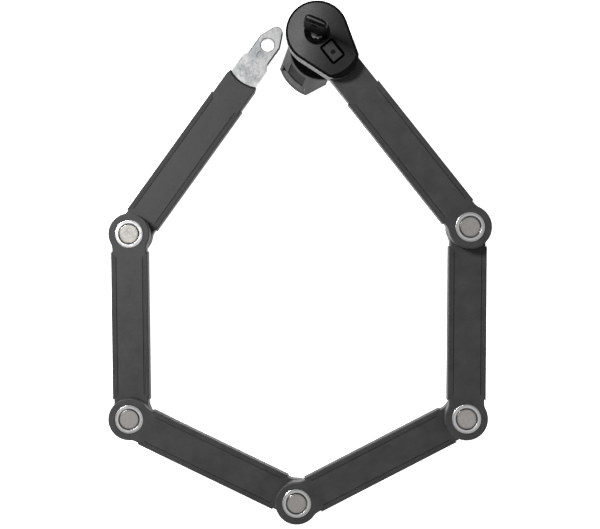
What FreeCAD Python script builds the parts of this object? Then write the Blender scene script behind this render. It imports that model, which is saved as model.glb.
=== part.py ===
import FreeCAD, Part
import os
from math import acos, cos, pi, radians, sin, sqrt, tan

# Folding bike lock, opened out flat.  Millimetres.
# The lock head stands on z = 0 with its barrel axis on the Z axis.  Six bars leave it in a chain,
# each bar one layer lower than the one before, and the last bar ends in the tongue.

Vec = FreeCAD.Vector
PAST = 9.0                  # how far a cutting shape reaches past what it cuts
SKY = 90.0                  # a height above the whole lock head

# ---- driving dimensions: the chain ----
HEAD_REACH = 178.0          # head axis to the first pivot
TONGUE_REACH = 180.6        # last pivot to the tongue's hole
LINK_PITCH = 140.0          # pivot to pivot on the four middle bars
LAYER_PITCH = 12.0          # height from one bar to the next
BOTTOM_LAYER_Z = 9.5        # centre height of the tongue bar
BAR_COUNT = 6
# direction of each bar on the plan, in degrees from +X, from the head outwards
HEADINGS = [-51.6, -90.5, 207.3, 154.3, 90.85, 54.3]

# ---- bars, sleeves and edge rails ----
STEEL_HALF = 4.0            # half the thickness of a steel bar
STEEL_SIDE = 11.2           # half the width of a steel bar
SLEEVE_HALF = 5.6           # half the thickness of a plastic sleeve
SLEEVE_SIDE = 13.0          # half the width of a sleeve between its bosses
BOSS_R = 15.8               # round end of a sleeve
BOSS_BLEND_R = 10.0         # hollow blend between boss and straight side
SLEEVE_EDGE_R = 0.9
ENTRY_SIDE = 12.2           # half the width of the first sleeve where it enters the head
ENTRY_START = 26.5
ENTRY_END = 32.0
RAIL_SIDE = 14.0            # outer face of an edge rail
RAIL_INNER = 10.2           # inner edge of an edge rail on the top face
RAIL_HALF = 5.65            # half the height of an edge rail
RAIL_WALL = 1.9             # thickness of a rail beside the bar
RAIL_LIP = 1.05             # thickness of a rail over the bar
RAIL_START = 13.5           # from a pivot to the rail's near end
RAIL_START_HEAD = 53.5      # from the head axis to the first rail
RAIL_START_TONGUE = 53.7    # from the tongue's hole to the last rail
RAIL_GROOVE = 0.4           # open line between a rail's inner edge and its sleeve
RAIL_EDGE_R = 0.8
PART_GAP = 0.05             # gap between pieces that are assembled together

# ---- pivots ----
RIVET_R = 5.0
RIVET_CLEARANCE = 0.06
RIVET_HEAD_R = 7.4
RIVET_EDGE_R = 0.5
COLLAR_OUTER_R = 10.7
COLLAR_INNER_R = 7.8
COLLAR_EDGE_R = 0.4
WINDOW_R = 11.0             # round window in a sleeve over a pivot
WASHER_R = 10.5
HEAD_PROUD = 5.75           # height of rivet heads and collars over a bar's centre plane
TURN_GAP = 0.05             # end play of a pivot

# ---- tongue ----
TONGUE_SHOULDER = 17.0      # all measured back or forward from the tongue's hole
TONGUE_SHOULDER_END = 13.5
TONGUE_ARROW_SIDE = 9.2
TONGUE_TAPER = 3.5
TONGUE_TIP = 16.7
TONGUE_TIP_R = 5.0
TONGUE_HOLE_R = 5.05
TONGUE_BEVEL = 0.9
HOLE_BEVEL = 0.7
DIMPLE_BACK = 9.6
DIMPLE_R = 3.0
DIMPLE_DEPTH = 0.6
SLEEVE_LIP_CORNER = 32.0    # sleeve end beside the tongue
SLEEVE_LIP_MIDDLE = 34.9
SLEEVE_LIP_SIDE = 11.9
SLEEVE_LIP_FOOT = 35.6
SLEEVE_LIP_BEVEL = 1.3

# ---- lock head ----
SLOT_HEADING = 231.6        # the way the tongue slot faces
DROP_R = 22.6               # round part of the drop-shaped outlines
DROP_ANGLE = 18.5           # half the angle between a drop's straight sides
DROP_END_SIDE = 13.5        # half the width of a drop's small end
CAP_REACH = 37.8            # tip of the cap over the first bar
FACE_REACH = 33.6           # tip of the cap's flat face
RIM_WIDTH = 1.6
RIM_BEVEL = 0.5
RIM_SIDE_GAP = 0.35         # the upper housing stands back this far under the cap's rim
UPPER_EDGE_R = 0.6
FACE_EDGE_R = 0.4
LOWER_TOP = 38.0
LOWER_EDGE = 0.9            # bevel round the lower housing's foot and rim
RIM_CENTRE = (3.1, -3.9)    # the lower housing's round rim, on the plan
RIM_R = 23.7
RIM_SPLITS = (199.0, 248.0) # where the rim's arc changes from flank to front
FOOT_CENTRE = (1.35, -1.25) # round back of the foot
FOOT_R = 24.1
FLANK_HEADINGS = (160.0, 297.9)
FRONT_CENTRE = (3.0, -2.3)  # the foot's front edge is an arc about this plan point
FRONT_R = 33.5
FOLD_CLEARANCE = 1.0        # round the bosses of the folded bars
SLOT_LENGTH = 43.0          # how far the slot's cutting shapes reach from the axis
PANEL_WIDE = 15.4           # shallow panel on the snout's front
PANEL_SIDE = -6.2           # its near side, measured across the slot's direction
PANEL_BOTTOM = 16.0
PANEL_TOP = 34.5
PANEL_DEPTH = 0.5
NECK_R = 17.5
UPPER_BOTTOM = 63.6
UPPER_TOP = 80.0
FACE_TOP = 83.6
RIM_TOP = 83.2
CORE_R = 16.0
BASE_THICK = 3.0
BASE_R = 14.0
SLOT_SIDE = 11.5
SLOT_HALF = 4.5
SLOT_TAPER_X = 6.0          # where the slot starts to narrow, past the axis
SLOT_TIP_X = 17.9
SLOT_TIP_SIDE = 6.5
SLOT_RELIEF = 0.6           # the housing's opening is this much larger all round
LINER_WALL = 0.55
LINER_END = -10.0
LINER_INSET = 0.4           # the liner stands back this far from the housing's face
SCREW_ANGLES = (30, 150, 270)
SCREW_CIRCLE_R = 9.5
SCREW_R = 1.2
SCREW_HOLE_R = 1.25
SCREW_HEAD_R = 2.2
SINK_R = 2.4
SINK_DEPTH = 1.2
SCREW_SET = 0.15            # the screw heads lie this far inside the cover
SCREW_HEAD_THICK = 1.0
DRIVE_LONG = 3.0            # straight slot in a screw head
DRIVE_WIDE = 0.6
DRIVE_DEEP = 0.5

# ---- lock mechanism, from the bottom up ----
BOLT_R = 4.5
BOLT_BORE_R = 4.56
BOLT_BOTTOM = 15.2
BOLT_TOP = 28.0
BOLT_POINT = 1.2
BOLT_SEAT_R = 1.6
BOLT_SEAT_DEPTH = 4.0
BOLT_SPRING_R = 3.3
BOLT_WIRE_R = 0.5
BOLT_COILS = 7
CAM_BOTTOM = 42.0
CAM_TOP = 46.0
CAM_GAP = 0.1               # between the cam and the bolt's spring
LOBE_R = 2.6
LOBE_X = 5.6
PLUG_R = 5.0
PLUG_BORE_R = 5.06
PLUG_TOP = 79.4
PLUG_BEVEL = 0.5
CYLINDER_R = 9.0
CYLINDER_BOTTOM = 48.0
CYLINDER_TOP = 77.5
CLIP_BOTTOM = 46.6
CLIP_TOP = 47.6
CLIP_OUTER_R = 6.4
CLIP_INNER_R = 4.45
CLIP_GROOVE_R = 4.4
CLIP_MOUTH = 2.5            # half the width of the clip's opening
RECESS_R = 9.3
BEZEL_TOP = 83.4
DISH_TOP_R = 8.7
DISH_FLOOR_R = 6.2
DISH_FLOOR = 79.5
FIRST_WAFER = 5.0           # height of the lowest wafer inside the cylinder
WAFER_COUNT = 6
WAFER_PITCH = 3.6
WAFER_THICK = 1.1
WAFER_SIDE = 4.1
WAFER_DEEP = 2.4            # half the size of a wafer across the key
WAFER_GAP = 0.1
KEYWAY_SIDE = 1.2
KEYWAY_REACH = 3.5
KEY_HALF = 1.05
KEY_REACH = 3.3
KEY_TIP = 52.0
KEY_TIP_BEVEL = 2.2
NOTCH_GAP = 0.4             # above and below a wafer
NOTCH_LEAST = 0.5           # depth of the shallowest notch
NOTCH_STEP = 0.35
NOTCH_DEPTHS = 5            # number of different notch depths
KEY_HEADING = -22.6         # direction of the key's wide face
BOW_BOTTOM = 86.0
BOW_TOP = 121.0
BOW_SIDE = 8.6
BOW_HALF = 2.8
BOW_SHIFT = -1.3            # the bow sits a little to one side of the blade
BOW_CORNER = 5.5            # rounded top corners
BOW_NECK = 6.0              # half the width where the bow starts
BOW_SHOULDER = 6.0          # height over which it widens
BOW_EDGE_R = 2.0
BOW_HOLE_R = 2.4
BOW_HOLE_DROP = 6.5         # from the bow's top to its hole for a key ring
BOW_GRIP = 8.0              # how far the blade reaches into the bow

# ---- push button beside the keyhole, measured along the first bar ----
BUTTON_X = 17.8
BUTTON_LONG = 15.2
BUTTON_WIDE = 10.8
BUTTON_CORNER = 1.6
BUTTON_GAP = 0.6
BUTTON_BOTTOM = 75.6
BUTTON_TOP = 83.0
BUTTON_WALL = 1.4
BUTTON_ROOF = 2.0
BUTTON_EDGE_R = 0.4
BUTTON_SPRING_R = 2.6
BUTTON_WIRE_R = 0.35
BUTTON_COILS = 4
POCKET_FLOOR = 73.5


def layer_z(bar):
    """Centre height of a bar; bar 1 is the top one."""
    return BOTTOM_LAYER_Z + (BAR_COUNT - bar) * LAYER_PITCH


def bar_length(bar):
    return {1: HEAD_REACH, BAR_COUNT: TONGUE_REACH}.get(bar, LINK_PITCH)


def toward(heading):
    """Unit vector on the plan."""
    return Vec(cos(radians(heading)), sin(radians(heading)), 0)


def plan(point):
    return point.x, point.y


def bar_starts():
    """Plan position of the near end of each bar, from the head axis outwards."""
    starts = [Vec(0, 0, 0)]
    for bar in range(1, BAR_COUNT):
        starts.append(starts[-1] + toward(HEADINGS[bar - 1]) * bar_length(bar))
    return starts


STARTS = bar_starts()


# ---- shape helpers ----
def outline(start, *steps):
    """A closed plan outline.  A step is (x, y) for a line or (middle, end) for an arc."""
    here = Vec(start[0], start[1], 0)
    first = here
    edges = []
    for step in steps:
        if isinstance(step[0], tuple):
            middle = Vec(step[0][0], step[0][1], 0)
            end = Vec(step[1][0], step[1][1], 0)
            edges.append(Part.Arc(here, middle, end).toShape())
        else:
            end = Vec(step[0], step[1], 0)
            edges.append(Part.makeLine(here, end))
        here = end
    if here.distanceToPoint(first) > 1e-6:
        edges.append(Part.makeLine(here, first))
    return Part.Face(Part.Wire(edges))


def lifted_wire(face, height):
    wire = face.OuterWire.copy()
    wire.translate(Vec(0, 0, height))
    return wire


def prism(face, bottom, top):
    solid = face.extrude(Vec(0, 0, top - bottom))
    solid.translate(Vec(0, 0, bottom))
    return solid


def disc(radius, bottom, top, x=0.0, y=0.0):
    return Part.makeCylinder(radius, top - bottom, Vec(x, y, bottom))


def ring(outer, inner, bottom, top, x=0.0):
    return disc(outer, bottom, top, x).cut(disc(inner, bottom - 1, top + 1, x))


def block(x0, x1, side, bottom, top):
    """A box from x0 to x1, centred on y = 0."""
    return Part.makeBox(x1 - x0, 2 * side, top - bottom, Vec(x0, -side, bottom))


def rounded_block(x0, x1, side, corner, bottom, top):
    box = block(x0, x1, side, bottom, top)
    upright = [e for e in box.Edges if abs(e.Vertexes[0].Z - e.Vertexes[1].Z) > 1e-6]
    return box.makeFillet(corner, upright)


def flat_edges(solid, height):
    """Edges that lie wholly at one height."""
    found = []
    for edge in solid.Edges:
        box = edge.BoundBox
        if abs(box.ZMin - height) < 1e-6 and abs(box.ZMax - height) < 1e-6:
            found.append(edge)
    return found


def cone(bottom_r, top_r, bottom, top, x=0.0):
    return Part.makeCone(bottom_r, top_r, top - bottom, Vec(x, 0, bottom))


def coil(radius, wire_r, bottom, top, turns):
    """A coil spring that fits between two heights."""
    low = bottom + wire_r
    height = top - wire_r - low
    helix = Part.makeHelix(height / turns, height, radius)
    section = Part.Wire(Part.makeCircle(wire_r, Vec(radius, 0, 0), Vec(0, 1, 0)))
    spring = Part.Wire(helix.Edges).makePipeShell([section], True, True)
    spring.translate(Vec(0, 0, low))
    return spring


def turned(shape, heading):
    result = shape.copy()
    result.rotate(Vec(0, 0, 0), Vec(0, 0, 1), heading)
    return result


def on_bar(shape, bar):
    """Move a shape from a bar's own frame, centred on its layer, to its place in the lock."""
    result = turned(shape, HEADINGS[bar - 1])
    result.translate(STARTS[bar - 1] + Vec(0, 0, layer_z(bar)))
    return result


def at_pivot(shape, pivot):
    """Move a shape from a frame at the upper bar's layer to a pivot."""
    result = turned(shape, HEADINGS[pivot - 1])
    result.translate(STARTS[pivot] + Vec(0, 0, layer_z(pivot)))
    return result


def toward_first_bar(shape):
    return turned(shape, HEADINGS[0])


def into_slot(shape):
    """Turn a shape whose +X is the way the tongue goes in."""
    return turned(shape, SLOT_HEADING - 180.0)


# ---- outlines ----
def drop_outline(round_r, end_side, reach, trim=0.0):
    """A drop: a round part about the origin, straight sides, and a curved small end on +X."""
    radius = round_r - trim
    slope = radians(DROP_ANGLE)
    tangent_x = radius * sin(slope)
    tangent_y = radius * cos(slope)
    side = end_side - trim
    corner_x = tangent_x + (tangent_y - side) / tan(slope)
    return outline(
        (tangent_x, tangent_y),
        ((-radius, 0.0), (tangent_x, -tangent_y)),
        (corner_x, -side),
        ((reach - trim, 0.0), (corner_x, side)),
    )


def boss_blend():
    """Where a boss's hollow blend leaves the boss and where it meets the straight side."""
    centre_y = SLEEVE_SIDE + BOSS_BLEND_R
    span = BOSS_R + BOSS_BLEND_R
    centre_x = sqrt(span**2 - centre_y**2)
    on_boss = (centre_x * BOSS_R / span, centre_y * BOSS_R / span)
    half_turn = (acos(centre_y / span)) / 2
    middle = (centre_x - BOSS_BLEND_R * sin(half_turn), centre_y - BOSS_BLEND_R * cos(half_turn))
    return on_boss, middle, (centre_x, SLEEVE_SIDE)


def link_outline():
    """A sleeve with a round boss at both ends."""
    (bx, by), (mx, my), (sx, sy) = boss_blend()
    far = LINK_PITCH
    return outline(
        (bx, by),
        ((-BOSS_R, 0.0), (bx, -by)),
        ((mx, -my), (sx, -sy)),
        (far - sx, -sy),
        ((far - mx, -my), (far - bx, -by)),
        ((far + BOSS_R, 0.0), (far - bx, by)),
        ((far - mx, my), (far - sx, sy)),
        (sx, sy),
        ((mx, my), (bx, by)),
    )


def head_sleeve_outline():
    """The first sleeve: narrow where it enters the head, with a boss at the far end."""
    (bx, by), (mx, my), (sx, sy) = boss_blend()
    far = HEAD_REACH
    return outline(
        (ENTRY_START, ENTRY_SIDE),
        (ENTRY_START, -ENTRY_SIDE),
        (ENTRY_END, -ENTRY_SIDE),
        (ENTRY_END, -sy),
        (far - sx, -sy),
        ((far - mx, -my), (far - bx, -by)),
        ((far + BOSS_R, 0.0), (far - bx, by)),
        ((far - mx, my), (far - sx, sy)),
        (ENTRY_END, sy),
        (ENTRY_END, ENTRY_SIDE),
    )


def tongue_sleeve_outline():
    """The last sleeve: a boss at the pivot and a hollow end that matches the snout."""
    (bx, by), (mx, my), (sx, sy) = boss_blend()
    foot = TONGUE_REACH - SLEEVE_LIP_FOOT
    corner = TONGUE_REACH - SLEEVE_LIP_CORNER
    middle = TONGUE_REACH - SLEEVE_LIP_MIDDLE
    return outline(
        (bx, by),
        ((-BOSS_R, 0.0), (bx, -by)),
        ((mx, -my), (sx, -sy)),
        (foot, -sy),
        (corner, -SLEEVE_LIP_SIDE),
        ((middle, 0.0), (corner, SLEEVE_LIP_SIDE)),
        (foot, sy),
        (sx, sy),
        ((mx, my), (bx, by)),
    )


def tongue_outline():
    """The last steel bar, round at the pivot and pointed at the tongue."""
    hole = TONGUE_REACH
    side = TONGUE_ARROW_SIDE
    tip_centre = TONGUE_TIP - TONGUE_TIP_R
    touch = taper_touch(hole, side, tip_centre)
    return outline(
        (0.0, STEEL_SIDE),
        ((-STEEL_SIDE, 0.0), (0.0, -STEEL_SIDE)),
        (hole - TONGUE_SHOULDER, -STEEL_SIDE),
        (hole - TONGUE_SHOULDER_END, -side),
        (hole + TONGUE_TAPER, -side),
        (touch[0], -touch[1]),
        ((hole + TONGUE_TIP, 0.0), touch),
        (hole + TONGUE_TAPER, side),
        (hole - TONGUE_SHOULDER_END, side),
        (hole - TONGUE_SHOULDER, STEEL_SIDE),
    )


def taper_touch(hole, side, tip_centre):
    """Where the line from the taper's start touches the tongue's round tip."""
    run = tip_centre - TONGUE_TAPER
    distance = sqrt(run**2 + side**2)
    to_start = pi - acos(run / distance)
    angle = to_start - acos(TONGUE_TIP_R / distance)
    return (
        hole + tip_centre + TONGUE_TIP_R * cos(angle),
        TONGUE_TIP_R * sin(angle),
    )


# ---- bars ----
def steel_bar(bar):
    """A flat steel bar with round ends, in its own frame."""
    length = bar_length(bar)
    if bar == BAR_COUNT:
        plate = prism(tongue_outline(), -STEEL_HALF, STEEL_HALF)
    else:
        plate = block(0, length, STEEL_SIDE, -STEEL_HALF, STEEL_HALF)
        plate = plate.fuse(disc(STEEL_SIDE, -STEEL_HALF, STEEL_HALF, length))
        near_r = CORE_R - PART_GAP if bar == 1 else STEEL_SIDE
        plate = plate.fuse(disc(near_r, -STEEL_HALF, STEEL_HALF)).removeSplitter()
    if bar == 1:
        plate = plate.cut(disc(CYLINDER_R + PART_GAP, -PAST, PAST))
    else:
        plate = plate.cut(disc(RIVET_R + RIVET_CLEARANCE, -PAST, PAST))
    if bar < BAR_COUNT:
        plate = plate.cut(disc(RIVET_R, -PAST, PAST, length))
    return plate


def tongue_bar():
    """The last bar, with its bevelled tongue, bolt hole and round stamping."""
    plate = steel_bar(BAR_COUNT)
    bevelled = []
    for height in (-STEEL_HALF, STEEL_HALF):
        for edge in flat_edges(plate, height):
            box = edge.BoundBox
            if box.XMin > TONGUE_REACH - TONGUE_SHOULDER_END - 0.1:
                bevelled.append(edge)
    plate = plate.makeChamfer(TONGUE_BEVEL, bevelled)
    plate = plate.cut(disc(TONGUE_HOLE_R, -PAST, PAST, TONGUE_REACH))
    mouth = TONGUE_HOLE_R + HOLE_BEVEL
    plate = plate.cut(cone(TONGUE_HOLE_R, mouth, STEEL_HALF - HOLE_BEVEL, STEEL_HALF, TONGUE_REACH))
    dimple_x = TONGUE_REACH - DIMPLE_BACK
    return plate.cut(disc(DIMPLE_R, STEEL_HALF - DIMPLE_DEPTH, PAST, dimple_x))


def rail_limits(bar):
    """Where the edge rails of a bar start and end along it."""
    start = RAIL_START_HEAD if bar == 1 else RAIL_START
    margin = RAIL_START_TONGUE if bar == BAR_COUNT else RAIL_START
    return start, bar_length(bar) - margin


def rail_prism(bar, outer, inner, half):
    """One rail's outer form on the +Y edge, with ends slanted at 45 degrees."""
    start, end = rail_limits(bar)
    flare = outer - RAIL_SIDE
    slant = RAIL_SIDE - inner
    face = outline(
        (start - flare, outer),
        (start + slant, inner),
        (end - slant, inner),
        (end + flare, outer),
    )
    return prism(face, -half, half)


def edge_rail(bar):
    """A C-shaped strip that clips over one long edge of a sleeve."""
    outer = rail_prism(bar, RAIL_SIDE, RAIL_INNER, RAIL_HALF)
    long_edges = []
    for edge in outer.Edges:
        box = edge.BoundBox
        if box.YMin > RAIL_SIDE - 1e-6 and box.XLength > 1.0:
            long_edges.append(edge)
    outer = outer.makeFillet(RAIL_EDGE_R, long_edges)
    start, end = rail_limits(bar)
    lip = RAIL_HALF - RAIL_LIP
    inside = block(start - PAST, end + PAST, RAIL_SIDE - RAIL_WALL, -lip, lip)
    return outer.cut(inside)


def edge_rails(bar):
    upper = edge_rail(bar)
    lower = upper.mirror(Vec(0, 0, 0), Vec(0, 1, 0))
    return Part.makeCompound([upper, lower])


def sleeve(bar):
    """A plastic sleeve moulded round a steel bar, with windows at the pivots."""
    if bar == 1:
        face = head_sleeve_outline()
    elif bar == BAR_COUNT:
        face = tongue_sleeve_outline()
    else:
        face = link_outline()
    shell = prism(face, -SLEEVE_HALF, SLEEVE_HALF)
    rims = flat_edges(shell, -SLEEVE_HALF) + flat_edges(shell, SLEEVE_HALF)
    shell = shell.makeFillet(SLEEVE_EDGE_R, rims)
    shell = shell.cut(steel_bar_blank(bar))
    if bar > 1:
        shell = shell.cut(disc(WINDOW_R, -PAST, PAST))
    if bar < BAR_COUNT:
        shell = shell.cut(disc(WINDOW_R, -PAST, PAST, bar_length(bar)))
    else:
        shell = shell.cut(lip_bevel())
        shell = shell.cut(lip_bevel().mirror(Vec(0, 0, 0), Vec(0, 0, 1)))
    start, end = rail_limits(bar)
    lip = RAIL_HALF - RAIL_LIP
    groove = rail_prism(bar, RAIL_SIDE + 2, RAIL_INNER - RAIL_GROOVE, PAST)
    groove = groove.cut(block(start - PAST, end + PAST, RAIL_SIDE - RAIL_WALL, -lip, lip))
    shell = shell.cut(groove)
    return shell.cut(groove.mirror(Vec(0, 0, 0), Vec(0, 1, 0)))


def lip_bevel():
    """The shape that bevels the hollow end of the last sleeve, on the top face."""
    hollow = SLEEVE_LIP_MIDDLE - SLEEVE_LIP_CORNER
    radius = (SLEEVE_LIP_SIDE**2 + hollow**2) / (2 * hollow)
    centre_x = TONGUE_REACH - SLEEVE_LIP_MIDDLE + radius
    bottom = SLEEVE_HALF - SLEEVE_LIP_BEVEL
    return cone(radius, radius + SLEEVE_LIP_BEVEL, bottom, SLEEVE_HALF, centre_x)


def steel_bar_blank(bar):
    """The space that a steel bar fills inside its sleeve."""
    length = bar_length(bar) - (0 if bar < BAR_COUNT else SLEEVE_LIP_CORNER - PAST)
    space = block(0, length, STEEL_SIDE, -STEEL_HALF, STEEL_HALF)
    space = space.fuse(disc(STEEL_SIDE, -STEEL_HALF, STEEL_HALF, 0))
    if bar < BAR_COUNT:
        space = space.fuse(disc(STEEL_SIDE, -STEEL_HALF, STEEL_HALF, length))
    return space.removeSplitter()


# ---- pivots; heights are from the upper bar's centre plane ----
def pivot_rivet():
    """A shouldered rivet with a flat round head at both ends."""
    low_face = -LAYER_PITCH - STEEL_HALF - TURN_GAP
    low_end = -LAYER_PITCH - HEAD_PROUD
    rivet = disc(RIVET_R, low_face, STEEL_HALF)
    for bottom, top, outer in ((STEEL_HALF, HEAD_PROUD, HEAD_PROUD), (low_end, low_face, low_end)):
        head = disc(RIVET_HEAD_R, bottom, top)
        head = head.makeFillet(RIVET_EDGE_R, flat_edges(head, outer))
        rivet = rivet.fuse(head)
    return rivet.removeSplitter()


def collar(face, end):
    """A plated ring round a rivet head, from a bar's face to its outer end."""
    band = ring(COLLAR_OUTER_R, COLLAR_INNER_R, min(face, end), max(face, end))
    return band.makeFillet(COLLAR_EDGE_R, flat_edges(band, end))


def spacer_washer():
    bottom = -LAYER_PITCH + STEEL_HALF + TURN_GAP
    return ring(WASHER_R, RIVET_R, bottom, -STEEL_HALF)


# ---- lock head ----
def slot_space(clearance=0.0):
    """The space that the tongue enters."""
    middle = layer_z(BAR_COUNT)
    side = SLOT_SIDE + clearance
    tip_side = SLOT_TIP_SIDE + clearance
    face = outline(
        (-SLOT_LENGTH, side),
        (-SLOT_LENGTH, -side),
        (SLOT_TAPER_X, -side),
        (SLOT_TIP_X + clearance, -tip_side),
        (SLOT_TIP_X + clearance, tip_side),
        (SLOT_TAPER_X, side),
    )
    half = SLOT_HALF + clearance
    return into_slot(prism(face, middle - half, middle + half))


def front_corner(start, way, trim):
    """Where a straight flank that leaves start meets the circle of the foot's front."""
    offset = start - Vec(*FRONT_CENTRE)
    run = offset.dot(way)
    return start + way * (sqrt(run**2 - offset.dot(offset) + (FRONT_R - trim)**2) - run)


def foot_section(trim, height):
    """The foot's outline: a round back, two straight flanks and a front on a wider radius."""
    left_heading, right_heading = FLANK_HEADINGS
    centre = Vec(*FOOT_CENTRE)
    left = centre + toward(left_heading) * (FOOT_R - trim)
    right = centre + toward(right_heading) * (FOOT_R - trim)
    back = centre - toward(SLOT_HEADING) * (FOOT_R - trim)
    front = Vec(*FRONT_CENTRE) + toward(SLOT_HEADING) * (FRONT_R - trim)
    left_corner = front_corner(left, toward(left_heading + 90.0), trim)
    right_corner = front_corner(right, toward(right_heading - 90.0), trim)
    face = outline(
        plan(right),
        (plan(back), plan(left)),
        plan(left_corner),
        (plan(front), plan(right_corner)),
    )
    return lifted_wire(face, height)


def rim_section(trim, height):
    """The round rim, split into the same four edges as the foot."""
    left, right = FLANK_HEADINGS
    left_split, right_split = RIM_SPLITS

    def at(heading):
        return plan(Vec(*RIM_CENTRE) + toward(heading) * (RIM_R - trim))

    face = outline(
        at(right),
        (at(SLOT_HEADING - 180.0), at(left)),
        (at((left + left_split) / 2), at(left_split)),
        (at(SLOT_HEADING), at(right_split)),
        (at((right_split + right) / 2), at(right)),
    )
    return lifted_wire(face, height)


def lower_form(inset=0.0):
    """The outer form of the lower housing, from its cornered foot to its round rim."""
    sections = [
        foot_section(inset + LOWER_EDGE, 0.0),
        foot_section(inset, LOWER_EDGE),
        rim_section(inset, LOWER_TOP - LOWER_EDGE),
        rim_section(inset + LOWER_EDGE, LOWER_TOP),
    ]
    return Part.makeLoft(sections, True, True)


def lower_housing():
    """The barrel's lower part, with a sloping front that takes the tongue."""
    body = lower_form()
    panel = Part.makeBox(
        SLOT_LENGTH,
        PANEL_WIDE,
        PANEL_TOP - PANEL_BOTTOM,
        Vec(0, PANEL_SIDE, PANEL_BOTTOM),
    )
    body = body.cut(turned(panel, SLOT_HEADING).cut(lower_form(PANEL_DEPTH)))
    folded_pivot = toward(HEADINGS[0]) * (HEAD_REACH - LINK_PITCH)
    body = body.cut(disc(BOSS_R + FOLD_CLEARANCE, -PAST, LOWER_TOP + PAST, *plan(folded_pivot)))
    body = body.cut(disc(CORE_R, BASE_THICK, LOWER_TOP + PAST))
    body = body.cut(disc(BASE_R, -PAST, LOWER_TOP))
    return body.cut(slot_space(SLOT_RELIEF))


def slot_liner():
    """A thin steel frame that lines the mouth of the slot outside the core."""
    middle = layer_z(BAR_COUNT)
    half = SLOT_HALF + LINER_WALL
    frame = block(-SLOT_LENGTH, LINER_END, SLOT_SIDE + LINER_WALL, middle - half, middle + half)
    frame = into_slot(frame.cut(disc(CORE_R + PART_GAP, 0, LOWER_TOP)))
    return frame.cut(slot_space()).common(lower_form(LINER_INSET))


def lock_core():
    """The hardened steel core with the tongue slot, the bolt bore and the cylinder's seat."""
    core = disc(CORE_R - PART_GAP, BASE_THICK + PART_GAP, layer_z(1) - STEEL_HALF)
    core = core.cut(slot_space())
    core = core.cut(disc(BOLT_BORE_R, 0, CAM_BOTTOM))
    return core.cut(disc(CYLINDER_R + PART_GAP, CAM_BOTTOM, SKY))


def base_cover():
    """The round cover under the barrel, with three countersunk screw holes."""
    cover = disc(BASE_R - PART_GAP, 0, BASE_THICK)
    for x, y in screw_places():
        cover = cover.cut(disc(SCREW_HOLE_R, -PAST, PAST, x, y))
        cover = cover.cut(Part.makeCone(SINK_R, SCREW_HOLE_R, SINK_DEPTH, Vec(x, y, 0)))
    return cover


def screw_places():
    return [plan(toward(angle) * SCREW_CIRCLE_R) for angle in SCREW_ANGLES]


def base_screws():
    screws = []
    for x, y in screw_places():
        screw = Part.makeCone(SCREW_HEAD_R, SCREW_R, SCREW_HEAD_THICK, Vec(x, y, SCREW_SET))
        screw = screw.fuse(disc(SCREW_R, SCREW_HEAD_THICK, BASE_THICK, x, y))
        corner = Vec(x - DRIVE_LONG / 2, y - DRIVE_WIDE / 2, 0)
        screws.append(screw.cut(Part.makeBox(DRIVE_LONG, DRIVE_WIDE, DRIVE_DEEP, corner)))
    return Part.makeCompound(screws)


def neck_housing():
    return ring(NECK_R, CORE_R, LOWER_TOP, UPPER_BOTTOM)


def upper_housing():
    """The drop-shaped block that carries the first bar."""
    face = drop_outline(DROP_R, DROP_END_SIDE, CAP_REACH, RIM_SIDE_GAP)
    body = prism(face, UPPER_BOTTOM, UPPER_TOP)
    body = body.makeFillet(UPPER_EDGE_R, flat_edges(body, UPPER_BOTTOM))
    body = body.cut(disc(CORE_R, UPPER_BOTTOM - PAST, POCKET_FLOOR))
    body = body.cut(disc(RECESS_R + PART_GAP, 0, SKY))
    bar_z = layer_z(1)
    channel_top = bar_z + SLEEVE_HALF + PART_GAP
    channel_end = CAP_REACH + PAST
    channel_side = ENTRY_SIDE + PART_GAP
    body = body.cut(block(ENTRY_START, channel_end, channel_side, bar_z - PAST, channel_top))
    body = body.cut(block(0, ENTRY_START, STEEL_SIDE, bar_z - PAST, POCKET_FLOOR))
    body = body.cut(button_window(POCKET_FLOOR, SKY))
    return toward_first_bar(body)


def button_window(bottom, top):
    half = BUTTON_LONG / 2 + BUTTON_GAP
    side = BUTTON_WIDE / 2 + BUTTON_GAP
    corner = BUTTON_CORNER + BUTTON_GAP
    return rounded_block(BUTTON_X - half, BUTTON_X + half, side, corner, bottom, top)


def face_outline(trim=0.0):
    """The flat face of the cap, inside its rim."""
    return drop_outline(DROP_R - RIM_WIDTH, DROP_END_SIDE - RIM_WIDTH, FACE_REACH, trim)


def cap_rim():
    """The glossy rim round the cap's face, stepped down towards the first bar."""
    body = prism(drop_outline(DROP_R, DROP_END_SIDE, CAP_REACH), UPPER_TOP, RIM_TOP)
    body = body.makeChamfer(RIM_BEVEL, flat_edges(body, RIM_TOP))
    return toward_first_bar(body.cut(prism(face_outline(), 0, SKY)))


def top_cap():
    """The flat textured face plate, with the keyhole recess and the button's window."""
    body = prism(face_outline(PART_GAP), UPPER_TOP, FACE_TOP)
    body = body.makeFillet(FACE_EDGE_R, flat_edges(body, FACE_TOP))
    body = body.cut(disc(RECESS_R + PART_GAP, 0, SKY))
    return toward_first_bar(body.cut(button_window(0, SKY)))


def keyhole_bezel():
    """The dished ring round the keyhole."""
    body = disc(RECESS_R, CYLINDER_TOP, BEZEL_TOP)
    body = body.cut(cone(DISH_FLOOR_R, DISH_TOP_R, DISH_FLOOR, BEZEL_TOP))
    return body.cut(disc(PLUG_BORE_R, 0, SKY))


# ---- mechanism ----
def cylinder_housing():
    return ring(CYLINDER_R, PLUG_BORE_R, CYLINDER_BOTTOM, CYLINDER_TOP)


def wafer_heights():
    first = CYLINDER_BOTTOM + FIRST_WAFER
    return [first + n * WAFER_PITCH for n in range(WAFER_COUNT)]


def wafer_plate(bottom, gap=0.0):
    side = WAFER_SIDE + gap
    corner = Vec(-side, -WAFER_DEEP, bottom - gap / 2)
    return Part.makeBox(2 * side, 2 * WAFER_DEEP, WAFER_THICK + gap, corner)


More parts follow.
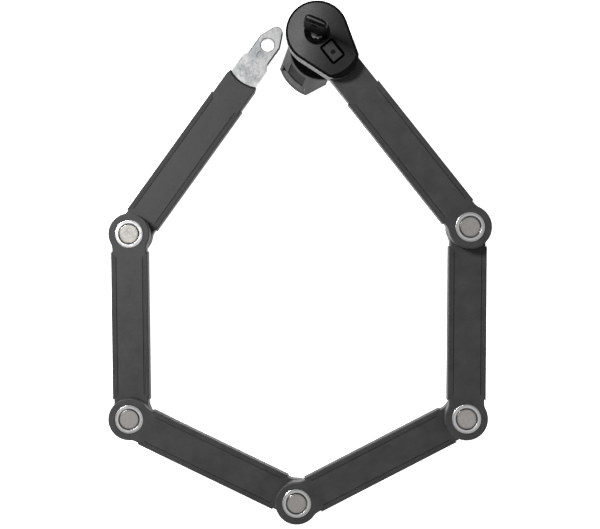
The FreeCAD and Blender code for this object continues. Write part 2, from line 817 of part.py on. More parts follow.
def keyway(bottom, top):
    return block(-KEYWAY_REACH, KEYWAY_REACH, KEYWAY_SIDE, bottom, top)


def cylinder_plug():
    """The turning plug, with the keyway and the wafer slots."""
    plug = disc(PLUG_R, CAM_TOP, PLUG_TOP)
    plug = plug.makeChamfer(PLUG_BEVEL, flat_edges(plug, PLUG_TOP))
    plug = plug.cut(ring(PLUG_R + 1, CLIP_GROOVE_R, CLIP_BOTTOM, CLIP_TOP))
    for bottom in wafer_heights():
        plug = plug.cut(wafer_plate(bottom, WAFER_GAP))
    plug = plug.cut(keyway(KEY_TIP - 1, SKY))
    return turned(plug, KEY_HEADING)


def wafers():
    stack = []
    for bottom in wafer_heights():
        stack.append(wafer_plate(bottom).cut(keyway(bottom - 1, bottom + WAFER_PITCH)))
    return turned(Part.makeCompound(stack), KEY_HEADING)


def retaining_clip():
    """The open ring that holds the plug up in its housing."""
    clip = ring(CLIP_OUTER_R, CLIP_INNER_R, CLIP_BOTTOM + PART_GAP, CLIP_TOP - PART_GAP)
    mouth = block(0, CLIP_OUTER_R + 1, CLIP_MOUTH, CLIP_BOTTOM, CLIP_TOP)
    return turned(clip.cut(mouth), KEY_HEADING)


def plug_cam():
    """The cam under the plug, with one lobe that drives the bolt."""
    bottom = CAM_BOTTOM + CAM_GAP
    lobe = block(0, LOBE_X, LOBE_R, bottom, CAM_TOP).fuse(disc(LOBE_R, bottom, CAM_TOP, LOBE_X))
    cam = disc(PLUG_R, bottom, CAM_TOP).fuse(lobe)
    return turned(cam.removeSplitter(), KEY_HEADING)


def locking_bolt():
    """The round bolt on the barrel's axis, with a pointed end and a spring seat on top."""
    bolt = disc(BOLT_R, BOLT_BOTTOM, BOLT_TOP)
    bolt = bolt.makeChamfer(BOLT_POINT, flat_edges(bolt, BOLT_BOTTOM))
    return bolt.cut(disc(BOLT_SEAT_R, BOLT_TOP - BOLT_SEAT_DEPTH, BOLT_TOP + 1))


def bolt_spring():
    return coil(BOLT_SPRING_R, BOLT_WIRE_R, BOLT_TOP, CAM_BOTTOM, BOLT_COILS)


def lock_button():
    """The push button, hollow underneath for its spring."""
    half = BUTTON_LONG / 2
    side = BUTTON_WIDE / 2
    near = BUTTON_X - half
    far = BUTTON_X + half
    body = rounded_block(near, far, side, BUTTON_CORNER, BUTTON_BOTTOM, BUTTON_TOP)
    body = body.makeFillet(BUTTON_EDGE_R, flat_edges(body, BUTTON_TOP))
    hollow = block(
        near + BUTTON_WALL,
        far - BUTTON_WALL,
        side - BUTTON_WALL,
        BUTTON_BOTTOM - 1,
        BUTTON_TOP - BUTTON_ROOF,
    )
    return toward_first_bar(body.cut(hollow))


def button_spring():
    roof = BUTTON_TOP - BUTTON_ROOF
    spring = coil(BUTTON_SPRING_R, BUTTON_WIRE_R, POCKET_FLOOR, roof, BUTTON_COILS)
    spring.translate(toward(HEADINGS[0]) * BUTTON_X)
    return spring


# ---- key ----
def key_blade():
    """The flat blade, with a notch for each wafer and a square tang inside the bow."""
    blade = block(-KEY_REACH, KEY_REACH, KEY_HALF, KEY_TIP, BOW_BOTTOM + BOW_GRIP)
    tip = Part.makePolygon([
        Vec(-KEY_REACH, -PAST, KEY_TIP),
        Vec(-KEY_REACH, -PAST, KEY_TIP + KEY_TIP_BEVEL),
        Vec(-KEY_REACH + KEY_TIP_BEVEL, -PAST, KEY_TIP),
        Vec(-KEY_REACH, -PAST, KEY_TIP),
    ])
    corner = Part.Face(tip).extrude(Vec(0, 2 * PAST, 0))
    blade = blade.cut(corner)
    blade = blade.cut(corner.mirror(Vec(0, 0, 0), Vec(1, 0, 0)))
    for count, bottom in enumerate(wafer_heights()):
        depth = NOTCH_LEAST + NOTCH_STEP * (count * 2 % NOTCH_DEPTHS)
        low = bottom - NOTCH_GAP
        high = bottom + WAFER_THICK + NOTCH_GAP
        for edge in (-KEY_REACH, KEY_REACH):
            blade = blade.cut(block(edge - depth, edge + depth, PAST, low, high))
    return turned(blade, KEY_HEADING)


def key_bow():
    """The plastic bow, an upright plate with a neck and round shoulders."""
    shoulder = BOW_BOTTOM + BOW_SHOULDER
    cut_in = BOW_CORNER * (1 - cos(radians(45)))
    face = outline(
        (-BOW_NECK, BOW_BOTTOM),
        (BOW_NECK, BOW_BOTTOM),
        (BOW_SIDE, shoulder),
        (BOW_SIDE, BOW_TOP - BOW_CORNER),
        ((BOW_SIDE - cut_in, BOW_TOP - cut_in), (BOW_SIDE - BOW_CORNER, BOW_TOP)),
        (-BOW_SIDE + BOW_CORNER, BOW_TOP),
        ((cut_in - BOW_SIDE, BOW_TOP - cut_in), (-BOW_SIDE, BOW_TOP - BOW_CORNER)),
        (-BOW_SIDE, shoulder),
    )
    bow = face.extrude(Vec(0, 0, 2 * BOW_HALF))
    bow.translate(Vec(0, 0, -BOW_HALF))
    bow = bow.makeFillet(BOW_EDGE_R, flat_edges(bow, -BOW_HALF) + flat_edges(bow, BOW_HALF))
    bow.rotate(Vec(0, 0, 0), Vec(1, 0, 0), 90)
    hole_height = BOW_TOP - BOW_HOLE_DROP
    hole = Part.makeCylinder(BOW_HOLE_R, 2 * PAST, Vec(0, -PAST, hole_height), Vec(0, 1, 0))
    bow = bow.cut(hole)
    bow.translate(Vec(BOW_SHIFT, 0, 0))
    bow = bow.cut(block(-KEY_REACH, KEY_REACH, KEY_HALF, BOW_BOTTOM - 1, BOW_BOTTOM + BOW_GRIP))
    return turned(bow, KEY_HEADING)


def build_parts():
    parts = {
        "lower_housing": lower_housing(),
        "slot_liner": slot_liner(),
        "lock_core": lock_core(),
        "base_cover": base_cover(),
        "base_screws": base_screws(),
        "neck_housing": neck_housing(),
        "upper_housing": upper_housing(),
        "cap_rim": cap_rim(),
        "top_cap": top_cap(),
        "keyhole_bezel": keyhole_bezel(),
        "cylinder_housing": cylinder_housing(),
        "cylinder_plug": cylinder_plug(),
        "wafers": wafers(),
        "retaining_clip": retaining_clip(),
        "plug_cam": plug_cam(),
        "locking_bolt": locking_bolt(),
        "bolt_spring": bolt_spring(),
        "lock_button": lock_button(),
        "button_spring": button_spring(),
        "key_blade": key_blade(),
        "key_bow": key_bow(),
        "head_bar": on_bar(steel_bar(1), 1),
        "head_bar_sleeve": on_bar(sleeve(1), 1),
        "tongue_bar": on_bar(tongue_bar(), BAR_COUNT),
        "tongue_bar_sleeve": on_bar(sleeve(BAR_COUNT), BAR_COUNT),
    }
    for bar in range(2, BAR_COUNT):
        parts[f"link_bar_{bar}"] = on_bar(steel_bar(bar), bar)
        parts[f"link_sleeve_{bar}"] = on_bar(sleeve(bar), bar)
    for bar in range(1, BAR_COUNT + 1):
        parts[f"edge_rails_{bar}"] = on_bar(edge_rails(bar), bar)
    for pivot in range(1, BAR_COUNT):
        low_face = -LAYER_PITCH - STEEL_HALF
        low_end = -LAYER_PITCH - HEAD_PROUD
        parts[f"pivot_rivet_{pivot}"] = at_pivot(pivot_rivet(), pivot)
        parts[f"top_collar_{pivot}"] = at_pivot(collar(STEEL_HALF, HEAD_PROUD), pivot)
        parts[f"bottom_collar_{pivot}"] = at_pivot(collar(low_face, low_end), pivot)
        parts[f"spacer_washer_{pivot}"] = at_pivot(spacer_washer(), pivot)
    return parts


PARTS = build_parts()
os.makedirs("parts", exist_ok=True)
for node, shape in PARTS.items():
    shape.exportStep(f"parts/{node}.step")
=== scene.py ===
import bpy
import bmesh
from math import cos, pi, radians, sin
from mathutils import Matrix, Vector


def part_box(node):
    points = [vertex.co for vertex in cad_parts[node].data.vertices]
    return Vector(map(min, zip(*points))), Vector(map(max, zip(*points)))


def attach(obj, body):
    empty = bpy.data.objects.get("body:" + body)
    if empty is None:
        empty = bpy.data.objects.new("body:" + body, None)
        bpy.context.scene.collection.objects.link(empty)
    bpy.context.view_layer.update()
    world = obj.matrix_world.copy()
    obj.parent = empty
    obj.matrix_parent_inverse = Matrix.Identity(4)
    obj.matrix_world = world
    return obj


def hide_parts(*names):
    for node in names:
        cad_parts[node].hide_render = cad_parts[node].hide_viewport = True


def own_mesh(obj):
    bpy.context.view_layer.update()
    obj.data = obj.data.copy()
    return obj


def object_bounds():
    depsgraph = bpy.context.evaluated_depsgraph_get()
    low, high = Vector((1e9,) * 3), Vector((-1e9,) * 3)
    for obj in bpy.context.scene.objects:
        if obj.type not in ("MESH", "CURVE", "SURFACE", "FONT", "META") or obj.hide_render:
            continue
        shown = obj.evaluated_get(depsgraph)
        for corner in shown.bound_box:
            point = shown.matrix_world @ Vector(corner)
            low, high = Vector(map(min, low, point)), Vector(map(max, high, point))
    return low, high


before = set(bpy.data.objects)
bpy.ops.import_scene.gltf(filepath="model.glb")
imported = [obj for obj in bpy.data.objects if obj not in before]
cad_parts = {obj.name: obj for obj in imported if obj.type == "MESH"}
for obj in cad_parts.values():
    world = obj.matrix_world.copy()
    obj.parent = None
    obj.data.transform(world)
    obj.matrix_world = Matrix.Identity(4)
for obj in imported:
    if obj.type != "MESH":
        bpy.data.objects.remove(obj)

CAD_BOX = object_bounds()
MM = 0.001


# ---- material helpers ----
class Nodes:
    """A material with a Principled shader and short ways to add nodes to it."""

    def __init__(self, name):
        self.material = bpy.data.materials.new(name)
        self.material.use_nodes = True
        self.tree = self.material.node_tree
        self.shader = self.tree.nodes["Principled BSDF"]
        coordinates = self.tree.nodes.new("ShaderNodeTexCoord")
        self.place = coordinates.outputs["Object"]
        self.share = coordinates.outputs["Generated"]

    def add(self, kind, **values):
        node = self.tree.nodes.new(kind)
        for key, value in values.items():
            setattr(node, key, value)
        return node

    def link(self, source, target):
        self.tree.links.new(source, target)

    def noise(self, scale, detail=3.0, rough=0.55, stretch=None):
        """Noise in object space; scale is in features per metre."""
        node = self.add("ShaderNodeTexNoise")
        node.inputs["Scale"].default_value = scale
        node.inputs["Detail"].default_value = detail
        node.inputs["Roughness"].default_value = rough
        place = self.place
        if stretch:
            mapping = self.add("ShaderNodeMapping")
            mapping.inputs["Rotation"].default_value = (0, 0, stretch[0])
            mapping.inputs["Scale"].default_value = stretch[1]
            self.link(place, mapping.inputs["Vector"])
            place = mapping.outputs["Vector"]
        self.link(place, node.inputs["Vector"])
        return node.outputs["Fac"]

    def ramp(self, source, low, high, start=0.3, end=0.7):
        """Spread a value between two colours."""
        node = self.add("ShaderNodeValToRGB")
        node.color_ramp.elements[0].position = start
        node.color_ramp.elements[1].position = end
        node.color_ramp.elements[0].color = (*low, 1)
        node.color_ramp.elements[1].color = (*high, 1)
        self.link(source, node.inputs["Fac"])
        return node.outputs["Color"]

    def spread(self, source, low, high, start=0.3, end=0.7):
        """Spread a value between two numbers."""
        node = self.add("ShaderNodeMapRange")
        node.inputs["From Min"].default_value = start
        node.inputs["From Max"].default_value = end
        node.inputs["To Min"].default_value = low
        node.inputs["To Max"].default_value = high
        self.link(source, node.inputs["Value"])
        return node.outputs["Result"]

    def bumps(self, *layers):
        """Chain bump nodes; a layer is (height, distance in metres, strength)."""
        normal = None
        for height, distance, strength in layers:
            node = self.add("ShaderNodeBump")
            node.inputs["Distance"].default_value = distance
            node.inputs["Strength"].default_value = strength
            self.link(height, node.inputs["Height"])
            if normal:
                self.link(normal, node.inputs["Normal"])
            normal = node.outputs["Normal"]
        self.link(normal, self.shader.inputs["Normal"])


def turned_place(m, heading):
    """Object coordinates turned about Z, split into X, Y and Z."""
    mapping = m.add("ShaderNodeMapping")
    mapping.inputs["Rotation"].default_value = (0, 0, -radians(heading))
    m.link(m.place, mapping.inputs["Vector"])
    parts = m.add("ShaderNodeSeparateXYZ")
    m.link(mapping.outputs["Vector"], parts.inputs["Vector"])
    return parts.outputs


def near(m, value, middle, reach):
    """1 where a value is within reach of the middle, else 0."""
    node = m.add("ShaderNodeMath", operation="COMPARE")
    node.inputs[1].default_value = middle
    node.inputs[2].default_value = reach
    m.link(value, node.inputs[0])
    return node.outputs["Value"]


def distance(m, point):
    """How far the surface is from a point given in object coordinates."""
    node = m.add("ShaderNodeVectorMath", operation="DISTANCE")
    node.inputs[1].default_value = point
    m.link(m.place, node.inputs[0])
    return node.outputs["Value"]


def radius(m):
    """Distance from a round piece's axis, as a share of its width."""
    flat = m.add("ShaderNodeVectorMath", operation="MULTIPLY")
    flat.inputs[1].default_value = (1, 1, 0)
    m.link(m.share, flat.inputs[0])
    node = m.add("ShaderNodeVectorMath", operation="DISTANCE")
    node.inputs[1].default_value = (0.5, 0.5, 0)
    m.link(flat.outputs["Vector"], node.inputs[0])
    return node.outputs["Value"]


def fade(m, heading, full, none):
    """1 up to one distance along a heading, falling to 0 at another, fast and then slowly."""
    along = turned_place(m, heading)[0]
    power = m.add("ShaderNodeMath", operation="POWER")
    power.inputs[1].default_value = 2.2
    m.link(m.spread(along, 1.0, 0.0, full, none), power.inputs[0])
    return power.outputs["Value"]


def both(m, one, other):
    node = m.add("ShaderNodeMath", operation="MULTIPLY")
    m.link(one, node.inputs[0])
    m.link(other, node.inputs[1])
    return node.outputs["Value"]


def opposite(m, mask):
    return m.spread(mask, 1.0, 0.0, 0.0, 1.0)


def tinted(m, colour, mask, tint):
    """Multiply a colour by a tint where the mask is 1."""
    node = m.add("ShaderNodeMix", data_type="RGBA", blend_type="MULTIPLY")
    colour_in = [i for i in node.inputs if i.name == "A" and i.type == "RGBA"][0]
    tint_in = [i for i in node.inputs if i.name == "B" and i.type == "RGBA"][0]
    tint_in.default_value = (*tint, 1)
    m.link(mask, node.inputs["Factor"])
    m.link(colour, colour_in)
    return [o for o in node.outputs if o.type == "RGBA"][0]


def crevice_shade(m, colour, reach, dark):
    """Painted shade: darken a colour where other surfaces crowd it, as shade falls in creases and gaps."""
    node = m.add("ShaderNodeAmbientOcclusion", samples=8)
    node.inputs["Distance"].default_value = reach
    shade = m.spread(node.outputs["AO"], dark, 1.0, 0.35, 0.85)
    mix = m.add("ShaderNodeMix", data_type="RGBA", blend_type="MULTIPLY")
    mix.inputs["Factor"].default_value = 1.0
    colour_in = [i for i in mix.inputs if i.name == "A" and i.type == "RGBA"][0]
    shade_in = [i for i in mix.inputs if i.name == "B" and i.type == "RGBA"][0]
    m.link(colour, colour_in)
    m.link(shade, shade_in)
    return [o for o in mix.outputs if o.type == "RGBA"][0]


def grained_plastic(name, dark, light, rough, grain, relief, shine, extra=None):
    """Moulded plastic: soft mottling in colour and sheen over a fine eroded grain, with painted shade in
    its creases.

    extra names a mark of one piece: the snout's darker panel with painted shade on the lower housing's
    flat top, the cap's painted sheen, the painted shade in the gap round the button, the painted highlight
    along the key bow's top, or the painted shade on the tongue sleeve's end."""
    m = Nodes(name)
    broad = m.noise(90.0, 4.0, 0.6)
    speck = m.noise(900.0, 2.0, 0.7)
    # painted shade: ambient occlusion darkens the colour in creases and gaps
    colour = crevice_shade(m, m.ramp(broad, dark, light), 0.0012, 0.25)
    colour = tinted(m, colour, m.spread(speck, 0.0, 1.0, 0.42, 0.62), grey(0.84))
    if extra == "panel":
        x, y, z = turned_place(m, SLOT_HEADING)
        across = near(m, y, PANEL_MIDDLE, PANEL_HALF)
        upright = near(m, z, PANEL_HEIGHT, PANEL_HALF_HEIGHT)
        outward = near(m, x, PANEL_OUT, PANEL_OUT_HALF)
        colour = tinted(m, colour, both(m, both(m, across, upright), outward), grey(0.25))
        # painted shade: the lower housing's flat top under the upper housing is painted near black with no
        # specular, where it lies in shade
        shelf_shade = near(m, z, SHELF_HEIGHT, SHELF_HALF)
        colour = tinted(m, colour, shelf_shade, grey(0.04))
        m.link(m.spread(shelf_shade, shine, 0.0, 0.0, 1.0), m.shader.inputs["Specular IOR Level"])
    if extra == "sheen":
        # painted sheen: the cap's face is painted lighter near one side and darker away from it, standing
        # in for a highlight
        darker = opposite(m, fade(m, SHEEN_HEADING, SHEEN_START, SHEEN_END))
        colour = tinted(m, colour, darker, grey(0.17))
    if extra == "frame":
        # painted shade: all of the button but its middle is painted near black with no specular, standing
        # in for the shade in the gap round it
        x, y, _ = turned_place(m, FIRST_BAR_HEADING)
        middle = both(m, near(m, x, BUTTON_X, BUTTON_INNER_X), near(m, y, 0.0, BUTTON_INNER_Y))
        colour = tinted(m, colour, opposite(m, middle), grey(0.03))
        m.link(m.spread(middle, 0.0, shine, 0.0, 1.0), m.shader.inputs["Specular IOR Level"])
    if extra == "highlight_streak":
        # painted highlight: the bow keeps its lighter colour only along a thin band on its top; the rest
        # is painted near black
        _, y, z = turned_place(m, KEY_HEADING)
        top = both(m, near(m, z, BOW_TOP, HIGHLIGHT_DEPTH), near(m, y, 0.0, HIGHLIGHT_HALF))
        colour = tinted(m, colour, opposite(m, top), grey(0.03))
    if extra == "lip":
        # painted shade: the tongue sleeve is painted dark within LIP_R of LIP_CENTRE, at its end beside
        # the bright tongue
        lip = near(m, distance(m, LIP_CENTRE), 0.0, LIP_R)
        colour = tinted(m, colour, lip, grey(0.2))
    m.link(colour, m.shader.inputs["Base Color"])
    m.link(m.spread(broad, rough - 0.05, rough + 0.07), m.shader.inputs["Roughness"])
    m.shader.inputs["Specular IOR Level"].default_value = shine
    fine = m.noise(grain, 2.0, 0.6)
    m.bumps((fine, relief, 0.6))
    return m.material


def worn_metal(
    name, dark, light, rough, blotches=140.0, relief=0.00004, tongue=False, shade_rings=(), span=(0.3, 0.7)
):
    """Bare metal with faint drawn lines, blotches and small dents, with painted shade in its creases.

    A shade ring is (middle radius, half width, tint) for a round piece that measures 1 across; it paints
    shade as a darker ring."""
    m = Nodes(name)
    m.shader.inputs["Metallic"].default_value = 1.0
    blotch = m.noise(blotches, 5.0, 0.65)
    # painted shade: ambient occlusion darkens the colour in creases and gaps, most strongly on the tongue
    colour = crevice_shade(m, m.ramp(blotch, dark, light, *span), 0.001, 0.55 if tongue else 0.12)
    # painted shade: darker rings at the gaps, grooves and edges of rivets and collars
    for middle, half, tint in shade_rings:
        colour = tinted(m, colour, near(m, radius(m), middle, half), grey(tint))
    if tongue:
        z = turned_place(m, TONGUE_HEADING)[2]
        # painted shade: a disc at the dimple is painted a little darker, standing in for the dent's
        # shading
        dimple = near(m, distance(m, DIMPLE), 0.0, DIMPLE_R)
        colour = tinted(m, colour, dimple, (0.82, 0.83, 0.84))
        # painted shade: the tongue's bevelled edge round its end is painted dark, standing in for the
        # bevel's shading
        around = near(m, distance(m, HOLE), BEVEL_SHADE_RING, BEVEL_SHADE_RING_HALF)
        bevel = both(m, near(m, z, BEVEL_SHADE_HEIGHT, BEVEL_SHADE_HALF), around)
        bevel = both(m, bevel, opposite(m, dimple))
        colour = tinted(m, colour, bevel, (0.12, 0.12, 0.13))
        patches = m.spread(m.noise(120.0, 2.0, 0.5), 0.0, 1.0, 0.45, 0.6)
        colour = tinted(m, colour, patches, (0.74, 0.755, 0.76))
        stamping = m.noise(520.0, 1.0, 0.4)
        marks = m.spread(stamping, 0.0, 1.0, 0.5, 0.56)
        stamped = both(m, marks, near(m, distance(m, STAMP), 0.0, STAMP_R))
        colour = tinted(m, colour, stamped, (0.8, 0.81, 0.82))
    m.link(colour, m.shader.inputs["Base Color"])
    m.link(m.spread(blotch, rough + 0.08, rough - 0.06), m.shader.inputs["Roughness"])
    drawn = m.noise(700.0, 3.0, 0.6, (radians(-TONGUE_HEADING), (0.05, 1.0, 1.0)))
    dents = m.noise(420.0, 2.0, 0.5)
    m.bumps((drawn, relief, 0.5), (dents, relief * 2, 0.4))
    return m.material


def paint(material, *nodes):
    for node in nodes:
        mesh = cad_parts[node].data
        mesh.materials.clear()
        mesh.materials.append(material)


def numbered(name, first, last):
    return [f"{name}_{n}" for n in range(first, last + 1)]


def grey(level, warm=0.0):
    return (level * (1 + warm), level, level * (1 - warm))


# ---- finishes ----
SLOT_HEADING = 231.6        # degrees on the plan, as in the CAD
FIRST_BAR_HEADING = -51.6
TONGUE_HEADING = 54.3
SHEEN_HEADING = -14.0       # the cap's painted sheen fades this way, leaving the face darker
SHEEN_START = -0.010
SHEEN_END = 0.0195
KEY_HEADING = -22.6
PANEL_MIDDLE = 0.0015
PANEL_HALF = 0.0077
PANEL_HEIGHT = 0.02525
PANEL_HALF_HEIGHT = 0.00925
SHELF_HEIGHT = 0.0384       # the flat top of the lower housing, painted near black as shade
SHELF_HALF = 0.0006
BUTTON_X = 0.0178
# the button's middle, left unpainted; round it the gap's shade is painted
BUTTON_INNER_X = 0.0063
BUTTON_INNER_Y = 0.0041
BOW_TOP = 0.121
HIGHLIGHT_DEPTH = 0.0012       # how far down the bow's top the painted highlight reaches
HIGHLIGHT_HALF = 0.0006
PANEL_OUT = 0.030           # the panel's distance from the barrel's axis
PANEL_OUT_HALF = 0.015
HOLE = (-0.0379, 0.00366, 0.0135)
DIMPLE = (-0.0435, -0.0041, 0.0135)
DIMPLE_R = 0.003
STAMP = (-0.0517, -0.0157, 0.0135)
STAMP_R = 0.0085
BEVEL_SHADE_HEIGHT = 0.0128
BEVEL_SHADE_HALF = 0.00066
BEVEL_SHADE_RING = 0.019          # the painted bevel shade's middle distance from the hole
BEVEL_SHADE_RING_HALF = 0.0125
# the painted shade on the tongue sleeve's end reaches LIP_R from this point
LIP_CENTRE = (-0.04317, -0.00367, 0.0146)
LIP_R = 0.0277
# painted shade: rings darkened where the gaps round rivets and collars lie in shade
RIVET_SHADE_RINGS = [(0.485, 0.025, 0.3), (0.42, 0.012, 0.8)]
COLLAR_SHADE_RINGS = [(0.37, 0.012, 0.3), (0.455, 0.008, 0.55), (0.49, 0.02, 0.7)]

sleeve_plastic = grained_plastic("sleeve_plastic", grey(0.018), grey(0.027), 0.53, 2600, 0.00003, 0.28)
lip_plastic = grained_plastic("lip_plastic", grey(0.018), grey(0.027), 0.53, 2600, 0.00003, 0.28, "lip")
rail_plastic = grained_plastic("rail_plastic", grey(0.021), grey(0.031), 0.55, 2600, 0.00003, 0.16)
face_plastic = grained_plastic("face_plastic", grey(0.068), grey(0.084), 0.5, 3200, 0.00003, 0.08, "sheen")
gloss_black = grained_plastic("gloss_black", grey(0.001), grey(0.002), 0.3, 900, 0.000004, 0.06)
# painted reflection: the upper housing is the same black plastic, given a lighter grey to stand in for the
# floor's reflection on its side wall
wall_painted_reflection = grained_plastic("wall_painted_reflection", grey(0.12), grey(0.14), 0.55, 2200, 0.00002, 0.1)
# its extra mark also paints shade on the lower housing's flat top
housing_plastic = grained_plastic(
    "housing_plastic", grey(0.05), grey(0.066), 0.6, 2200, 0.00002, 0.05, "panel"
)
# painted shade: the neck under the upper housing is made near black with almost no specular, where it lies
# in shade
neck_painted_shade = grained_plastic("neck_painted_shade", grey(0.001), grey(0.002), 0.6, 1600, 0.00002, 0.01)
dark_metal = worn_metal("dark_metal", grey(0.07), grey(0.12), 0.5)
# the lighter grey here is the colour of the painted highlight on the bow's top
key_plastic = grained_plastic(
    "key_plastic", grey(0.035), grey(0.06), 0.4, 900, 0.000003, 0.04, "highlight_streak"
)
button_plastic = grained_plastic(
    "button_plastic", grey(0.015), grey(0.021), 0.45, 2600, 0.00001, 0.2, "frame"
)
mark_plastic = grained_plastic("mark_plastic", grey(0.003), grey(0.005), 0.5, 2600, 0.00001, 0.05)
bar_metal = worn_metal("bar_metal", grey(0.36), grey(0.76), 0.3, 260.0, 0.00007, tongue=True)
rivet_metal = worn_metal(
    "rivet_metal", grey(0.38, 0.05), grey(0.64, 0.04), 0.27, 300.0, shade_rings=RIVET_SHADE_RINGS
)
bright_metal = worn_metal("bright_metal", grey(0.34, 0.05), grey(0.5, 0.04), 0.3, 420.0)
plug_metal = worn_metal("plug_metal", grey(0.01), grey(0.7), 0.3, 480.0, span=(0.46, 0.6))
collar_metal = worn_metal("collar_metal", grey(0.68), grey(0.9), 0.27, 300.0, shade_rings=COLLAR_SHADE_RINGS)
core_metal = worn_metal("core_metal", grey(0.25), grey(0.4), 0.4)
brass_metal = worn_metal("brass_metal", (0.55, 0.42, 0.2), (0.72, 0.58, 0.32), 0.3)

paint(sleeve_plastic, "head_bar_sleeve", *numbered("link_sleeve", 2, 5))
paint(lip_plastic, "tongue_bar_sleeve")
paint(rail_plastic, *numbered("edge_rails", 1, 6))
paint(face_plastic, "top_cap")
paint(gloss_black, "cap_rim", "keyhole_bezel")
paint(neck_painted_shade, "neck_housing")
paint(dark_metal, "slot_liner", "lock_core")
paint(wall_painted_reflection, "upper_housing")
paint(housing_plastic, "lower_housing", "base_cover")
paint(key_plastic, "key_bow")
paint(button_plastic, "lock_button")
paint(bar_metal, "head_bar", "tongue_bar", *numbered("link_bar", 2, 5))
paint(plug_metal, "cylinder_plug")
paint(rivet_metal, *numbered("pivot_rivet", 1, 5))
paint(bright_metal, "key_blade", "base_screws")
paint(collar_metal, *numbered("top_collar", 1, 5), *numbered("bottom_collar", 1, 5))
paint(core_metal, "locking_bolt", "plug_cam", "retaining_clip")
paint(core_metal, "bolt_spring", *numbered("spacer_washer", 1, 5))
paint(brass_metal, "cylinder_housing", "wafers")


# ---- the padlock mark moulded on the button ----
MARK_RISE = 0.12            # millimetres, like the numbers below
MARK_TOP = 83.0
MARK_X = 17.8
MARK_EDGE = 0.06
MARK_SUNK = 0.05            # how far the sign reaches into the button
BODY_HALF, BODY_LOW, BODY_HIGH, BODY_CORNER = 1.7, -2.0, 0.5, 0.35
SHACKLE_OUTER, SHACKLE_INNER, SHACKLE_FOOT = 1.25, 0.8, -0.45


def arch(outer, inner, foot, steps=14):
    """Points of an upright arch: round on top, with straight legs down to its foot."""
    over = [pi * n / steps for n in range(steps + 1)]
    outside = [(outer * cos(a), outer * sin(a)) for a in over]
    inside = [(inner * cos(a), inner * sin(a)) for a in reversed(over)]
    return [(outer, foot)] + outside + [(-outer, foot), (-inner, foot)] + inside + [(inner, foot)]


def round_corners(half_x, low, high, corner, steps=5):
    """Points of a rectangle with round corners."""
    points = []
    places = [(1, high, 0), (-1, high, 90), (-1, low, 180), (1, low, 270)]
    for side, edge, start in places:
        x = side * (half_x - corner)
        y = edge - corner if edge == high else edge + corner
        for n in range(steps + 1):
            a = radians(start + 90 * n / steps)
            points.append((x + corner * cos(a), y + corner * sin(a)))
    return points


def raised(shape, points):
    """Add a thin raised form with a bevelled rim to a mesh."""
    floor_points = [shape.verts.new((x, y, -MARK_SUNK)) for x, y in points]
    face = shape.faces.new(floor_points)
    risen = bmesh.ops.extrude_face_region(shape, geom=[face])
    top = [v for v in risen["geom"] if isinstance(v, bmesh.types.BMVert)]
    bmesh.ops.translate(shape, verts=top, vec=(0, 0, MARK_RISE + MARK_SUNK))
    rim = [e for e in shape.edges if e.verts[0] in top and e.verts[1] in top]
    bmesh.ops.bevel(shape, geom=rim, offset=MARK_EDGE, segments=2, affect="EDGES")


def ordered_mesh(name, shape):
    """A mesh with its points and faces sorted by place: bmesh extrudes in no fixed order."""
    corners = sorted(shape.verts, key=lambda v: tuple(v.co))
    number = {corner: n for n, corner in enumerate(corners)}
    faces = []
    for face in shape.faces:
        loop = [number[corner] for corner in face.verts]
        start = loop.index(min(loop))
        faces.append(loop[start:] + loop[:start])
    mesh = bpy.data.meshes.new(name)
    mesh.from_pydata([corner.co.copy() for corner in corners], [], sorted(faces))
    return mesh


def padlock_mark():
    """A small padlock sign that moves with the button."""
    shape = bmesh.new()
    raised(shape, round_corners(BODY_HALF, BODY_LOW, BODY_HIGH, BODY_CORNER))
    raised(shape, arch(SHACKLE_OUTER, SHACKLE_INNER, SHACKLE_FOOT))
    bmesh.ops.recalc_face_normals(shape, faces=shape.faces)
    mesh = ordered_mesh("padlock_mark", shape)
    shape.free()
    mesh.transform(Matrix.Translation((MARK_X, 0, MARK_TOP)) @ Matrix.Rotation(pi / 2, 4, "Z"))
    mesh.transform(Matrix.Rotation(radians(FIRST_BAR_HEADING), 4, "Z"))
    mesh.transform(Matrix.Scale(MM, 4))
    mesh.materials.append(mark_plastic)
    mark = bpy.data.objects.new("padlock_mark", mesh)
    bpy.context.scene.collection.objects.link(mark)
    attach(mark, "button")


padlock_mark()


# ---- the button's spring, a fixed coil on the lock head ----
WIRE_R = 0.00035
SPRING_GAP = 0.00005        # between the spring and the button's roof
COILS = 4
STEPS = 28                  # along one coil
SIDES = 10                  # round the wire


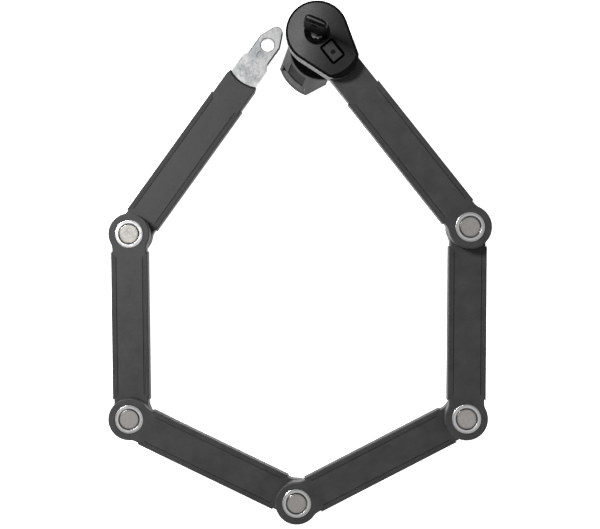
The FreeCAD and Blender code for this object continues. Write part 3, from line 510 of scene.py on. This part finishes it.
def button_spring():
    """A coil spring in the place of the CAD one, on the same axis and between the same heights."""
    low, high = (Vector(corner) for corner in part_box("button_spring"))
    axis = (low + high) / 2
    coil_r = (high.x - low.x) / 2 - WIRE_R
    foot = low.z + WIRE_R
    rise = high.z - SPRING_GAP - WIRE_R - foot
    points, faces = [], []
    last = COILS * STEPS
    for n in range(last + 1):
        turn = 2 * pi * n / STEPS
        outward = Vector((cos(turn), sin(turn), 0))
        middle = Vector((axis.x, axis.y, foot + rise * n / last)) + outward * coil_r
        for side in range(SIDES):
            a = 2 * pi * side / SIDES
            points.append(middle + outward * (WIRE_R * cos(a)) + Vector((0, 0, WIRE_R * sin(a))))
    for n in range(last):
        for side in range(SIDES):
            here, after = n * SIDES + side, n * SIDES + (side + 1) % SIDES
            faces.append((here, after, after + SIDES, here + SIDES))
    faces.append(tuple(range(SIDES)))
    faces.append(tuple(last * SIDES + side for side in reversed(range(SIDES))))
    mesh = bpy.data.meshes.new("spring_coil")
    mesh.from_pydata(points, [], faces)
    shape = bmesh.new()
    shape.from_mesh(mesh)
    bmesh.ops.recalc_face_normals(shape, faces=shape.faces)
    shape.to_mesh(mesh)
    shape.free()
    mesh.materials.append(core_metal)
    spring = bpy.data.objects.new("spring_coil", mesh)
    bpy.context.scene.collection.objects.link(spring)
    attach(spring, "lock_head")
    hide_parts("button_spring")
    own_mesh(spring)


button_spring()


# ---- stage, light and camera ----
FLOOR_HALF = 60.0
FLOOR_GAP = 0.0005          # the floor lies this far under the lock
FLOOR_GLOW = 0.9
SKY_STRENGTH = 0.4
LOOK_AT = (0.0, -0.17, 0.03)
SENSOR = 36.0
FOCAL_SHARE = 1211.9 / 600.0    # focal length over the picture's width
EYE = (-0.00525, -0.17184, 0.95)
TILT_X, TILT_Y = -0.341, -0.463


def floor():
    m = Nodes("floor_white")
    shade = m.noise(3.0, 2.0, 0.5)
    m.link(m.ramp(shade, (0.9, 0.9, 0.9), (0.93, 0.93, 0.93)), m.shader.inputs["Base Color"])
    m.shader.inputs["Roughness"].default_value = 0.8
    m.shader.inputs["Emission Color"].default_value = (1, 1, 1, 1)
    m.shader.inputs["Emission Strength"].default_value = FLOOR_GLOW
    mesh = bpy.data.meshes.new("floor")
    size = FLOOR_HALF
    corners = [(-size, -size, 0), (size, -size, 0), (size, size, 0), (-size, size, 0)]
    mesh.from_pydata(corners, [], [(0, 1, 2, 3)])
    mesh.materials.append(m.material)
    plane = bpy.data.objects.new("floor", mesh)
    plane.location.z = CAD_BOX[0][2] - FLOOR_GAP
    bpy.context.scene.collection.objects.link(plane)


def area_light(name, location, target, size, power):
    data = bpy.data.lights.new(name, "AREA")
    data.size = size
    data.energy = power
    light = bpy.data.objects.new(name, data)
    light.location = location
    aim = Vector(target) - Vector(location)
    light.rotation_euler = aim.to_track_quat("-Z", "Y").to_euler()
    bpy.context.scene.collection.objects.link(light)


def studio():
    world = bpy.data.worlds.new("studio")
    world.use_nodes = True
    world.node_tree.nodes["Background"].inputs["Color"].default_value = (1, 1, 1, 1)
    world.node_tree.nodes["Background"].inputs["Strength"].default_value = SKY_STRENGTH
    bpy.context.scene.world = world
    area_light("key_light", (-0.75, 0.30, 1.1), LOOK_AT, 0.32, 30.0)
    area_light("fill_light", (0.9, -0.9, 1.3), LOOK_AT, 1.2, 4.0)
    bpy.context.scene.view_settings.view_transform = "Standard"


def camera():
    """The camera looks almost straight down on the opened loop."""
    data = bpy.data.cameras.new("camera")
    data.sensor_width = SENSOR
    data.lens = FOCAL_SHARE * SENSOR
    data.clip_start = 0.01
    eye = bpy.data.objects.new("camera", data)
    tilt_x = Matrix.Rotation(radians(TILT_X), 3, "X")
    tilt_y = Matrix.Rotation(radians(TILT_Y), 3, "Y")
    turn = (tilt_x @ tilt_y).transposed().to_4x4()
    eye.matrix_world = Matrix.Translation(EYE) @ turn
    bpy.context.scene.collection.objects.link(eye)
    bpy.context.scene.camera = eye


floor()
studio()
camera()
